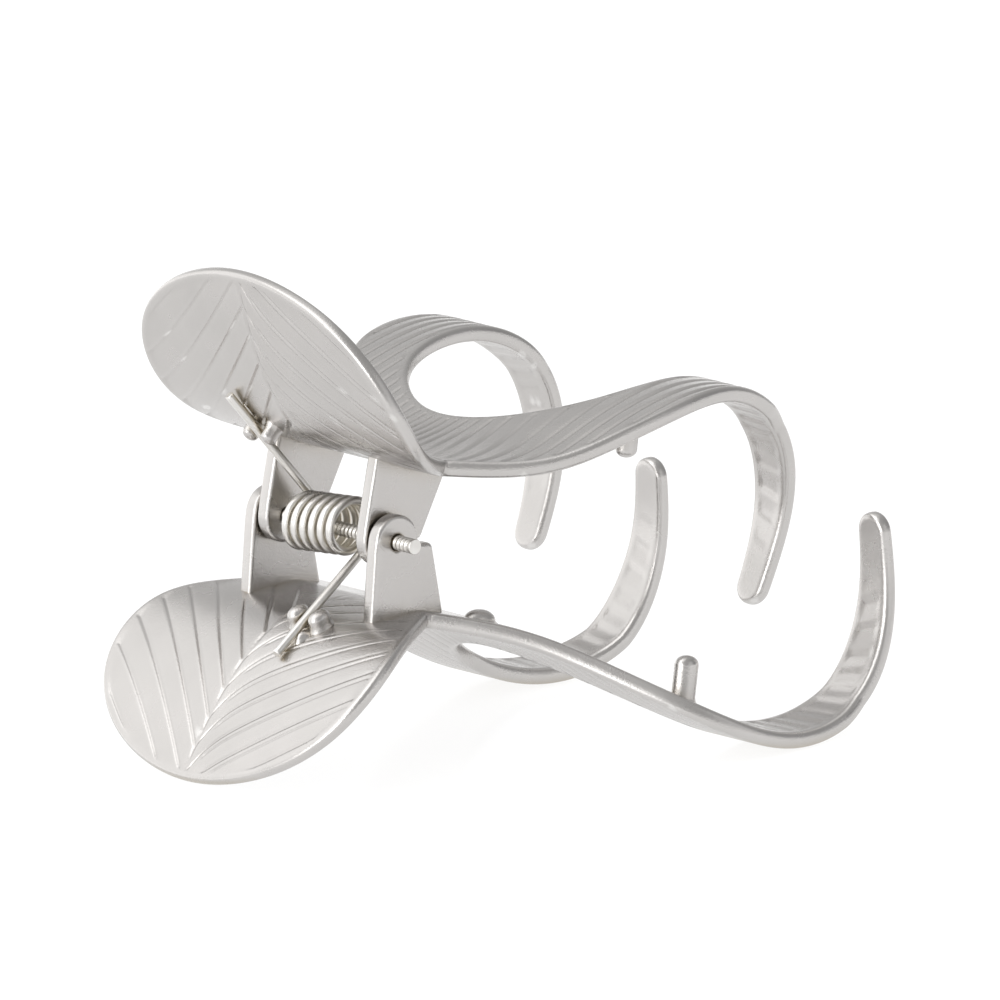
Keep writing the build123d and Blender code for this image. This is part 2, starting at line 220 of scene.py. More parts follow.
class Profile:
    """Side profile of a casting along its middle surface. s runs from the pad's tip (negative) over the crease (0)."""

    def __init__(self):
        x0, z0 = CREASE
        rise = JAW_HEIGHT - z0 - PLATE
        jaw = [(x0 + a * (JAW_REACH - x0), z0 + PLATE + b * rise) for a, b in JAW_SHARES]
        jaw += [
            (x0 + 0.923 * (JAW_REACH - x0), 0.758 * JAW_HEIGHT), (JAW_REACH, 0.2 * JAW_HEIGHT),
            (JAW_REACH - 0.24 * TINE_DROP, -TINE_DROP),
        ]
        jaw = smooth_curve(jaw, 0.1)
        half = np.interp(along(jaw), [0, 0.55 * along(jaw)[-1], along(jaw)[-1]], [PLATE, PLATE, TINE_END]) / 2
        jaw_mid = jaw - side_normals(jaw) * half[:, None]
        pad = smooth_curve([(x0 - a * PAD_RUN, z0 + b * PAD_RISE) for a, b in PAD_SHARES], 0.1)[::-1]
        pad_half = np.interp(along(pad), [0, along(pad)[-1]], [PAD_RIM, PLATE]) / 2
        pad_mid = pad + side_normals(pad) * pad_half[:, None]
        joined = np.concatenate([pad_mid[:-1], jaw_mid])
        run = along(joined)
        self.s = run - run[len(pad_mid) - 1]
        self.point = joined
        self.half = np.concatenate([pad_half[:-1], half])
        self.normal = side_normals(joined)
        self.length = self.s[-1]
        self.pad_length = -self.s[0]
        self.pad_inner = pad[::-1]

    def at(self, s):
        """Middle point, outward normal and half thickness."""
        point = np.stack([np.interp(s, self.s, self.point[:, k]) for k in (0, 1)], 1)
        normal = np.stack([np.interp(s, self.s, self.normal[:, k]) for k in (0, 1)], 1)
        normal /= np.linalg.norm(normal, axis=1)[:, None]
        return point, normal, np.interp(s, self.s, self.half)

    def s_of_x(self, x):
        """Place along the jaw where it is this far forward."""
        front = int(np.argmax(self.point[:, 0]))
        return np.interp(x, self.point[:front + 1, 0], self.s[:front + 1])

    def s_of_z(self, z):
        """Place along a tine at this height."""
        top = int(np.argmax(self.point[:, 1] * (self.s > 0)))
        return np.interp(-np.asarray(z, float), -self.point[top:, 1], self.s[top:])


PROFILE = Profile()


# ---------------------------------------------------------------- plates cut from a plan

def edge_distance(points, loops, chunk=800):
    """Distance from each plan point to the nearest cut edge."""
    best = np.full(len(points), np.inf)
    for loop in loops:
        a, b = loop, np.roll(loop, -1, 0)
        span = b - a
        size = np.maximum((span ** 2).sum(1), 1e-12)
        for i in range(0, len(points), chunk):
            gap = points[i:i + chunk, None, :] - a[None]
            share = np.clip((gap * span).sum(2) / size, 0, 1)
            off = gap - share[..., None] * span
            best[i:i + chunk] = np.minimum(best[i:i + chunk], np.sqrt((off ** 2).sum(2)).min(1))
    return best


def inside(points, loops, chunk=2000):
    """True where a plan point lies on the plate."""
    odd = np.zeros(len(points), bool)
    for loop in loops:
        a, b = loop, np.roll(loop, -1, 0)
        rise = np.where(np.abs(b[:, 1] - a[:, 1]) < 1e-12, 1e-12, b[:, 1] - a[:, 1])
        for i in range(0, len(points), chunk):
            px, py = points[i:i + chunk, 0:1], points[i:i + chunk, 1:2]
            crosses = (a[:, 1] > py) != (b[:, 1] > py)
            left = px < (b[:, 0] - a[:, 0]) * (py - a[:, 1]) / rise + a[:, 0]
            odd[i:i + chunk] ^= (crosses & left).sum(1) % 2 == 1
    return odd


def rim_steps(power):
    """How deep each rim line lies in from the edge, as a share of the half thickness."""
    angle = np.linspace(0, math.pi / 2, RIM_LINES + 1)[1:]
    return 1 - np.clip(np.cos(angle), 0, 1) ** (2 / power)


def rim_share(depth, power):
    """Share of the full half thickness at this depth, as a share of the half thickness, in from the edge."""
    return (1 - (1 - np.clip(depth, 0, 1)) ** power) ** (1 / power)


def cut_plate(loops, half_of, power, fill, rows=()):
    """Plan triangles of a plate with points on its cut edge, along its rim and over its faces."""
    points, edges = [], []
    for loop in loops:
        base = sum(map(len, points))
        count = len(loop)
        points.append(loop)
        edges += [(base + i, base + (i + 1) % count) for i in range(count)]
        tangent = np.roll(loop, -1, 0) - np.roll(loop, 1, 0)
        tangent /= np.linalg.norm(tangent, axis=1)[:, None]
        normal = np.stack([-tangent[:, 1], tangent[:, 0]], 1)
        half = half_of(loop)
        for depth in rim_steps(power):
            ring = loop + normal * (half * depth)[:, None]
            ring = ring[np.abs(edge_distance(ring, loops) - half * depth) < 0.06 * half * depth + 0.004]
            points.append(ring)
    fill = fill[inside(fill, loops)]
    fill = fill[edge_distance(fill, loops) > CLEAR_OF_RIM * half_of(fill)]
    points.append(fill)
    for row in rows:
        keep = inside(row, loops) & (edge_distance(row, loops) > CLEAR_OF_RIM * half_of(row))
        base = sum(map(len, points))
        number = np.cumsum(keep) - 1
        edges += [(base + number[i], base + number[i + 1]) for i in range(len(row) - 1) if keep[i] and keep[i + 1]]
        points.append(row[keep])
    flat = np.concatenate(points)
    cut = delaunay_2d_cdt([Vector(p) for p in flat], [tuple(map(int, e)) for e in edges], [], 1, 1e-4)
    plan = np.array([tuple(v) for v in cut[0]])
    faces = np.array([f for f in cut[2] if len(f) == 3])
    faces = faces[inside(plan[faces].mean(1), loops)]
    used, faces = np.unique(faces, return_inverse=True)
    return plan[used], faces.reshape(-1, 3), edge_distance(plan[used], loops)


def two_faced(plan, faces, depth, place):
    """Closed shell of a plate. place(plan, depth, side) gives the points of the outer (1) or inner (-1) face."""
    shared = depth < SAME_POINT
    outer, inner = place(plan, depth, 1), place(plan, depth, -1)
    middle = (outer + inner) / 2
    outer[shared] = middle[shared]
    number = np.cumsum(~shared) - 1 + len(plan)
    other = np.where(shared, np.arange(len(plan)), number)
    points = np.concatenate([outer, inner[~shared]])
    return points, [*map(tuple, faces)] + [*map(tuple, other[faces][:, ::-1])]


# ---------------------------------------------------------------- castings

def vein_lean(across):
    """How far a vein has run back towards the crease at this distance from the midrib, and its slope there.

    Veins run nearly straight on the positive side and leave the midrib in a curve on the other.
    """
    out = np.abs(across)
    straight, bent = 1.1 * out - 0.012 * out ** 2, 0.7 * out + 3.5 * (1 - np.exp(-out / 1.5))
    slope = np.where(across > 0, 1.1 - 0.024 * out, 0.7 + 3.5 / 1.5 * np.exp(-out / 1.5))
    return np.where(across > 0, straight, bent), slope


def pad_carving(s, y, relief):
    """Depth in mm of the leaf pattern below the pad's face: stepped laminae, a line at each step and a midrib."""
    lean, slope = vein_lean(y)
    v = -s + lean
    narrow = np.sqrt(1 + slope ** 2)
    k = np.clip(np.searchsorted(VEINS, v, side="right") - 1, 0, len(VEINS) - 2)
    share = (v - VEINS[k]) / (VEINS[k + 1] - VEINS[k])
    near = np.abs(v[:, None] - VEINS[None]).min(1) / narrow
    carve = VEIN_STEP * share ** 1.6 * smoothstep(1 - share, 0, 0.05) + VEIN_LINE * np.exp(-(near / 0.12) ** 2)
    second = np.abs(v[:, None] - VEINS[None] - SECOND_LINE).min(1) / narrow
    carve += np.where(y < -1.5, SECOND_DEPTH * np.exp(-(second / 0.11) ** 2), 0)
    rib = np.abs(y)
    carve = carve * smoothstep(rib, 0.05, 0.4) + MIDRIB_DEPTH * np.exp(-(rib / 0.2) ** 2)
    return relief * carve * smoothstep(-s, 0.8, 3.5)


def flute(phase):
    """Depth share of one flute: a long slope and a short step."""
    t = phase - np.floor(phase)
    return np.where(t < 0.62, (t / 0.62) ** 1.2, 1 - smoothstep(t, 0.62, 1.0))


def flute_line(s, y):
    """Place across the flutes on the outside of a jaw, in mm; they fan out from the root and follow the arms."""
    return y - 0.13 * s - 4.2 * np.tanh(s / 8) * np.exp(-((y + 1) / 8) ** 2)


def arm_carving(s, y, shift, side, relief):
    """Depth in mm of the flutes on the jaw: running along the arms outside, and across the tines inside."""
    y = y - shift
    if side > 0:
        phase = flute_line(s, y) / FLUTE_PITCH
        t = phase - np.floor(phase)
        near = np.minimum(t, 1 - t) * FLUTE_PITCH
        fade = smoothstep(s, 0.3, 2.5) * (1 - smoothstep(s, PROFILE.length - 30, PROFILE.length - 18))
        step = FLUTE_STEP * t ** 1.3 * smoothstep(1 - t, 0, 0.08)
        return relief * fade * (step + FLUTE_LINE * np.exp(-(near / 0.17) ** 2))
    out = np.where(y > 9.3, y - LONG_TURN, SHORT_TURN - y)
    lean = np.interp(s, [20, 45, PROFILE.length], [0.05, 0.12, 0.5])
    line = s - lean * out
    phase = np.interp(line, [0, 30, 52, 80], [0, 15, 24.5, 33.5])
    fade = smoothstep(s, 14, 24) * (1 - smoothstep(s, PROFILE.length - 13, PROFILE.length - 3))
    return relief * TINE_FLUTE * flute(phase) * fade


def casting_outline(shift):
    """Plan of a casting as (s, y), counter-clockwise: long arm, fork, short arm, pad."""
    def at(reach, pitch):
        return (reach * JAW_REACH, pitch * TINE_PITCH + shift)

    def on_plate(points):
        points = smooth_curve(points, 0.35)
        return np.stack([PROFILE.s_of_x(points[:, 0]), points[:, 1]], 1)

    def tine(centre, turn, side):
        """Edge of a tine from the front turn down to where its round tip starts."""
        top, low = PROFILE.s_of_z(TINE_TOP), PROFILE.length - TIP_HALF
        start, end = turn + side * TINE_HALF + shift, centre + side * TIP_HALF + shift
        s = np.linspace(0, 1, 60)
        swing = s - np.sin(2 * math.pi * s) / (2 * math.pi) * 0.35
        return np.stack([top - 6 + (low - top + 6) * s, start + (end - start) * swing], 1)

    def tip(centre, first):
        """Round end of a tine, from one side to the other."""
        angle = np.linspace(0, math.pi, 24)
        low = PROFILE.length - TIP_HALF
        return np.stack([low + TIP_HALF * np.sin(angle), centre + shift + first * TIP_HALF * np.cos(angle)], 1)

    front = PROFILE.point[int(np.argmax(PROFILE.point[:, 0])), 0] - 1.0
    root = (CREASE[0], ROOT_HALF_WIDTH)
    long_outer = on_plate([
        root, at(0.308, 1.145), at(0.494, 1.683), at(0.78, 1.785), (front, LONG_TURN + TINE_HALF + shift),
    ])
    fork = on_plate([
        (front, LONG_TURN - TINE_HALF + shift), at(0.78, 1.333), at(0.494, 1.16), at(0.385, 0.80),
        at(0.336, 0.317), at(0.385, -0.13), at(0.494, -0.435), at(0.78, -0.473),
        (front, SHORT_TURN + TINE_HALF + shift),
    ])
    short_outer = on_plate([
        (front, SHORT_TURN - TINE_HALF + shift), at(0.78, -0.874), at(0.494, -1.04), at(0.308, -0.94),
        (root[0], -root[1]),
    ])
    rise = np.array([-PAD_RUN, PAD_RISE]) / math.hypot(PAD_RUN, PAD_RISE)
    chord = math.hypot(PAD_RUN, PAD_RISE)
    reach = (PROFILE.pad_inner - PROFILE.pad_inner[0]) @ rise
    right = [(0, ROOT_HALF_WIDTH)] + [(a * chord, b * PAD_HALF_WIDTH) for a, b in PAD_OUTLINE]
    leaf = smooth_curve(right + [(chord, 0)] + [(u, -y) for u, y in reversed(right)], 0.35)
    distance = along(PROFILE.pad_inner) * PROFILE.pad_length / along(PROFILE.pad_inner)[-1]
    leaf = np.stack([-np.interp(leaf[:, 0], reach, distance), leaf[:, 1]], 1)

    def up_to(edge_highlight_mask, side_tine):
        """The part of a plan edge before the front turn, where the tine's own edge takes over."""
        return edge_highlight_mask[edge_highlight_mask[:, 0] < side_tine[0, 0] - 3]

    long_right, long_left = tine(LONG_TINE, LONG_TURN, 1), tine(LONG_TINE, LONG_TURN, -1)
    short_left, short_right = tine(SHORT_TINE, SHORT_TURN, 1), tine(SHORT_TINE, SHORT_TURN, -1)
    parts = [
        up_to(long_outer, long_right), long_right, tip(LONG_TINE, 1)[1:-1], long_left[::-1],
        up_to(fork, long_left), short_left, tip(SHORT_TINE, 1)[1:-1], short_right[::-1],
        up_to(short_outer, short_right), leaf[::-1][1:-1],
    ]
    loop = np.concatenate(parts)
    loop = loop[np.linalg.norm(loop - np.roll(loop, 1, 0), axis=1) > 0.02]
    closed = resample(np.concatenate([loop, loop[:1]]), 0.36)[:-1]
    area = (closed[:, 0] * np.roll(closed[:, 1], -1) - closed[:, 1] * np.roll(closed[:, 0], -1)).sum()
    return closed if area > 0 else closed[::-1]


def pattern_rows(shift, mirror):
    """Lines in the plan that the mesh follows: along the veins on the pad and along the flutes on the jaw."""
    rows = [np.stack([np.zeros(90), np.linspace(-ROOT_HALF_WIDTH, ROOT_HALF_WIDTH, 90)], 1)]
    levels = []
    near = [0.0, 0.08, 0.17, 0.34]
    for a, b in zip(VEINS, VEINS[1:]):
        beside = [SECOND_LINE + d for d in (-0.3, -0.15, 0.0, 0.15, 0.3)]
        levels += [a + d for d in near + beside] + [*np.linspace(a + 1.6, b - 0.7, 4)] + [b - d for d in near[:0:-1]]
    across = np.r_[0, 0.12, 0.28, 0.5, np.arange(0.9, 21.5, 0.5)]
    for level in levels:
        for side in (1, -1):
            row = np.stack([vein_lean(side * across)[0] - level, side * mirror * across], 1)
            row = row[row[:, 0] < -0.2]
            if len(row) > 1:
                rows.append(row)
    s = np.arange(0.35, PROFILE.length - 17.5, 0.42)
    y = np.linspace(-22, 36, 240)
    lines = flute_line(s[:, None], y[None])
    beside = [0.0, 0.1, 0.22, 0.42, 0.72, 1.05, 1.38, 1.55, 1.66]
    for k in range(-14, 24):
        for d in beside:
            level = k * FLUTE_PITCH + d
            rows.append(np.stack([s, [np.interp(level, line, y, -99, 99) + shift for line in lines]], 1))
    return rows


def casting_plate(shift, mirror, settings):
    """The curved plate of one casting in the upper place. mirror is 1 or -1 for the leaf pattern's curved side."""
    loop = casting_outline(shift)
    low, high = loop.min(0), loop.max(0)
    step = settings.mesh_step / MM
    start = PROFILE.length - 17.3
    s, y = np.meshgrid(np.arange(start, high[0], step * 0.87), np.arange(low[1], high[1], step), indexing="ij")
    y = y + (np.arange(len(y)) % 2)[:, None] * step / 2
    fill = np.stack([s.ravel(), y.ravel()], 1)
    rows = pattern_rows(shift, mirror)
    power = settings.rim_squareness
    plan, faces, depth = cut_plate([loop], lambda p: PROFILE.at(p[:, 0])[2], power, fill, rows)

    def place(plan, depth, side):
        point, normal, half = PROFILE.at(plan[:, 0])
        s, y = plan[:, 0], plan[:, 1]
        pad = s < 0
        carve = np.zeros(len(s))
        carve[pad] = pad_carving(s[pad], mirror * y[pad], settings.leaf_relief)
        carve[~pad] = arm_carving(s[~pad], y[~pad], shift, side, settings.flute_relief)
        border = np.where(pad, 1.0, 0.8 if side > 0 else 1.25)
        carve *= smoothstep(depth, 0.75 * border, 1.25 * border)
        height = half * rim_share(depth / half, power) - carve
        offset = normal * (side * height)[:, None]
        return np.stack([point[:, 0] + offset[:, 0], y, point[:, 1] + offset[:, 1]], 1)

    return two_faced(plan, faces, depth, place)


def ear_shell(face, bore):
    """One hinge ear: a round head, a stop shoulder towards the jaw and a foot that runs into the plate."""
    head = np.linspace(math.pi, 2 * math.pi - 0.06, 40)
    foot = [(-EAR_RADIUS + 0.55, 9.75), (-EAR_RADIUS, 1.2)]
    rounded = [(EAR_RADIUS * math.cos(a), EAR_RADIUS * math.sin(a)) for a in head]
    shoulder = [(4.45 + 0.8 * math.cos(a), 0.8 + 0.8 * math.sin(a)) for a in np.linspace(-1.45, -0.25, 9)]
    top = [(7.6, 7.4), (7.85, 8.2), (4.3, 8.3), (0.5, 8.6)]
    loop = resample(np.array(foot + rounded + [(3.5, 0.12)] + shoulder + top + foot[:1]), 0.22)[:-1]
    angle = np.linspace(0, -2 * math.pi, 33)[:-1]
    hole = np.stack([bore * np.cos(angle), bore * np.sin(angle)], 1)
    half = EAR_THICKNESS / 2
    x, z = np.meshgrid(np.arange(-3, 8, 0.5), np.arange(-3, 10, 0.5), indexing="ij")
    fill = np.stack([x.ravel(), z.ravel()], 1)

    def edge_of(points):
        return np.full(len(points), EAR_EDGE)

    plan, faces, depth = cut_plate([loop, hole], edge_of, 2.0, fill)

    def place(plan, depth, side):
        height = half - EAR_EDGE + EAR_EDGE * rim_share(depth / EAR_EDGE, 2.0)
        return np.stack([plan[:, 0], face - side * height, plan[:, 1]], 1)

    shared = depth < SAME_POINT
    outer, inner = place(plan, depth, 1), place(plan, depth, -1)
    points = np.concatenate([outer, inner])
    count = len(plan)
    shell = [*map(tuple, faces)] + [tuple(f + count) for f in faces[:, ::-1]]
    edges = {}
    for f in faces:
        for a, b in ((f[0], f[1]), (f[1], f[2]), (f[2], f[0])):
            edges[(a, b)] = edges.get((a, b), 0) + 1
    for a, b in edges:
        if (b, a) not in edges and shared[a] and shared[b]:
            shell.append((b, a, a + count, b + count))
    return points, shell


def turned(profile, segments=28, stretch=1.0):
    """A body of revolution about its own Z from (radius, height) points, stretched along its own X."""
    profile = np.array(profile, float)
    angle = np.linspace(0, 2 * math.pi, segments, endpoint=False)
    rings = [
        np.stack([r * np.cos(angle) * stretch, r * np.sin(angle), np.full(segments, h)], 1) for r, h in profile
    ]
    points = np.concatenate(rings)
    faces = []
    for ring in range(len(profile) - 1):
        for k in range(segments):
            a, b = ring * segments + k, ring * segments + (k + 1) % segments
            faces.append((a, b, b + segments, a + segments))
    faces.append(tuple(reversed(range(segments))))
    faces.append(tuple(range(len(points) - segments, len(points))))
    return points, faces


def planted(shell, place, out, forward):
    """A shell moved so that its own Z points out and its own X forward, in the clip's frame."""
    out, forward = np.array(out, float), np.array(forward, float)
    out /= np.linalg.norm(out)
    forward = forward - out * (forward @ out)
    forward /= np.linalg.norm(forward)
    side = np.cross(out, forward)
    points, faces = shell
    return points @ np.array([forward, side, out]) + np.array(place, float), faces


def nub_profile(radius, height, flare):
    """A round-nosed post with a soft root."""
    root = [(radius + flare, -0.5), (radius + 0.55 * flare, 0.0), (radius + 0.2 * flare, 0.25), (radius, 0.6)]
    nose = []
    for a in np.linspace(0, math.pi / 2 - 0.12, 9):
        nose.append((radius * math.cos(a), height - 0.9 * radius + 0.9 * radius * math.sin(a)))
    return [p for p in root if p[1] < height - 0.95 * radius] + nose


def pad_place(share):
    """Point on the pad's inner face and the direction out of it."""
    run = along(PROFILE.pad_inner)
    at = share * run[-1]
    point = np.array([np.interp(at, run, PROFILE.pad_inner[:, k]) for k in (0, 1)])
    ahead = np.array([np.interp(at + 0.2, run, PROFILE.pad_inner[:, k]) for k in (0, 1)])
    forward = (ahead - point) / np.linalg.norm(ahead - point)
    out = np.array([-forward[1], 0, forward[0]])
    return np.array([point[0], 0, point[1]]), out, np.array([forward[0], 0, forward[1]])


def casting_bosses(shift, side, lug_radius):
    """Lugs that hold the spring's leg, the spur behind them and the grip pegs."""
    shells = []
    place, out, forward = pad_place(LUG_SHARE)
    for sign in (-1, 1):
        post = turned(nub_profile(lug_radius, 1.95, 0.25), 32, 1.45)
        shells.append(planted(post, place + np.array([0, side + sign * (lug_radius + LUG_SPREAD), 0]), out, forward))
    place, out, forward = pad_place(LUG_SHARE + 0.07)
    spur = turned([(0.9, -0.5), (0.62, 0.0), (0.36, 0.35), (0.13, 0.6)], 24, 1.9)
    shells.append(planted(spur, place + np.array([0, side + 0.9, 0]), out, forward))
    for x, aside, length, radius, stretch in PEGS:
        point, normal, half = PROFILE.at(np.array([PROFILE.s_of_x(x)]))
        root = point[0] - normal[0] * half[0]
        post = turned(nub_profile(radius, length, 0.35), 32, stretch)
        shells.append(planted(post, (root[0], aside + shift, root[1]), (0, 0, -1), (1, 0, 0)))
    return shells


def whole(shells):
    """Several shells as one list of points and faces."""
    points, faces, base = [], [], 0
    for some, shell in shells:
        points.append(some)
        faces += [tuple(int(i) + base for i in face) for face in shell]
        base += len(some)
    return np.concatenate(points), faces


def new_piece(name, points, faces, material, body=None, node=None):
    """A smooth mesh object from clip-frame points, riding on its body in place of its mechanical node."""
    mesh = bpy.data.meshes.new(name)
    mesh.from_pydata([tuple(p) for p in to_frame(points)], [], faces)
    mesh.validate()
    mesh.update()
    mesh.polygons.foreach_set("use_smooth", [len(face.vertices) <= 4 for face in mesh.polygons])
    piece = bpy.data.objects.new(name, mesh)
    bpy.context.scene.collection.objects.link(piece)
    mesh.materials.append(material)
    if body:
        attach(piece, body)
    if node:
        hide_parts(node)
    return piece


def build_casting(name, body, node, lower, settings):
    """One whole casting: plate, ears, lugs and pegs."""
    shift = -JAW_SHIFT if lower else JAW_SHIFT
    shells = [casting_plate(shift, -1 if lower else 1, settings)]
    ear_face = (LOWER_EAR_FACE if lower else UPPER_EAR_FACE) - EAR_THICKNESS / 2
    for face in (ear_face, -ear_face):
        shells.append(ear_shell(face, PIN_RADIUS + BORE_GAP))
    lug = (LOWER_LUG_SIDE, LOWER_LUG_RADIUS) if lower else (UPPER_LUG_SIDE, UPPER_LUG_RADIUS)
    shells += casting_bosses(shift, *lug)
    points, faces = whole(shells)
    if lower:
        points = half_turn(points)
    return new_piece(name, points, faces, plated_silver(settings), body, node)


# ---------------------------------------------------------------- pin and spring

def pin_shell(settings):
    """Pin with a helical thread outside the ears and between them, plain where the ears sit."""
    segments, per_pitch = 32, 9
    y = np.arange(PIN_NEAR, PIN_FAR + 1e-6, THREAD_PITCH / per_pitch)
    angle = np.linspace(0, 2 * math.pi, segments, endpoint=False)
    grid_y, grid_a = np.meshgrid(y, angle, indexing="ij")
    phase = grid_y / THREAD_PITCH - grid_a / (2 * math.pi)
    ridge = np.abs(phase - np.floor(phase) - 0.5) * 2
    depth = settings.thread_depth / MM
    radius = PIN_RADIUS - depth * smoothstep(ridge, 0.15, 0.85)
    inner, outer = UPPER_EAR_FACE - EAR_THICKNESS - 0.1, LOWER_EAR_FACE + 0.05
    plain = (np.abs(grid_y) > inner) & (np.abs(grid_y) < outer)
    radius = np.where(plain, PIN_RADIUS, radius)
    radius *= np.where(grid_y < -outer, 1.06, 1.0)
    radius = np.where(grid_y < PIN_NEAR + 0.32, PIN_RADIUS * 1.06, radius)
    radius -= np.where(grid_y < PIN_NEAR + 0.03, 0.05, 0)
    radius -= 0.5 * (1 - np.sqrt(np.clip(1 - np.clip((grid_y - PIN_FAR + 0.7) / 0.7, 0, 1) ** 2, 0, 1)))
    points = np.stack([radius * np.cos(grid_a), grid_y, radius * np.sin(grid_a)], 2).reshape(-1, 3)
    faces = []
    for i in range(len(y) - 1):
        for k in range(segments):
            a, b = i * segments + k, i * segments + (k + 1) % segments
            faces.append((a, a + segments, b + segments, b))
    faces.append(tuple(range(segments)))
    faces.append(tuple(reversed(range(len(points) - segments, len(points)))))
    return points, faces


def spring_path():
    """Centre line of the wire: lower leg, loose coil that hangs a little askew on the pin, upper leg."""
    turns = np.linspace(0, 1, 340)
    angle = COIL_START + (COIL_END - COIL_START) * turns
    y = COIL_MIDDLE + COIL_LENGTH * (turns - 0.5)
    tilt = -0.075 * (y - COIL_MIDDLE)
    coil = np.stack([
        COIL_CENTRE[0] + COIL_RADIUS * np.cos(angle), y, COIL_CENTRE[1] + COIL_RADIUS * np.sin(angle) + tilt,
    ], 1)
    lower = np.linspace(LOWER_LEG_END, coil[0], 40)[:-1]
    upper = np.linspace(coil[-1], UPPER_LEG_END, 40)[1:]
    path = np.concatenate([lower, coil, upper])
    soft = path.copy()
    for _ in range(6):
        soft[1:-1] = (soft[:-2] + 2 * soft[1:-1] + soft[2:]) / 4
        near = np.zeros(len(path), bool)
        near[30:50] = near[-50:-30] = True
        soft[~near] = path[~near]
    return soft


def wire_shell(path, radius, segments=20):
    """A round wire along the path, cut flat at both ends with the burr broken."""
    tangent = np.gradient(path, axis=0)
    tangent /= np.linalg.norm(tangent, axis=1)[:, None]
    side = np.cross(tangent[0], (0.0, 1.0, 0.0))
    side /= np.linalg.norm(side)
    angle = np.linspace(0, 2 * math.pi, segments, endpoint=False)
    rings = []
    last = len(path) - 1
    for i, (point, ahead) in enumerate(zip(path, tangent)):
        side = side - ahead * (side @ ahead)
        side /= np.linalg.norm(side)
        up = np.cross(ahead, side)
        ring = np.cos(angle)[:, None] * side + np.sin(angle)[:, None] * up
        if i == 0:
            rings.append(point + 0.82 * radius * ring)
            rings.append(point + ahead * 0.07 + radius * ring)
        elif i == last:
            rings.append(point - ahead * 0.07 + radius * ring)
            rings.append(point + 0.82 * radius * ring)
        else:
            rings.append(point + radius * ring)
    points = np.concatenate(rings)
    faces = []
    for i in range(len(rings) - 1):
        for k in range(segments):
            a, b = i * segments + k, i * segments + (k + 1) % segments
            faces.append((a, b, b + segments, a + segments))
    faces.append(tuple(reversed(range(segments))))
    faces.append(tuple(range(len(points) - segments, len(points))))
    return points, faces


# ---------------------------------------------------------------- finishes

def node(tree, kind, **values):
    """A shader node. in_ values go to its sockets and the rest to its own settings."""
    made = tree.nodes.new(kind)
    for name, value in values.items():
        if name.startswith("in_"):
            made.inputs[name[3:].replace("_", " ")].default_value = value
        else:
            setattr(made, name, value)
    return made


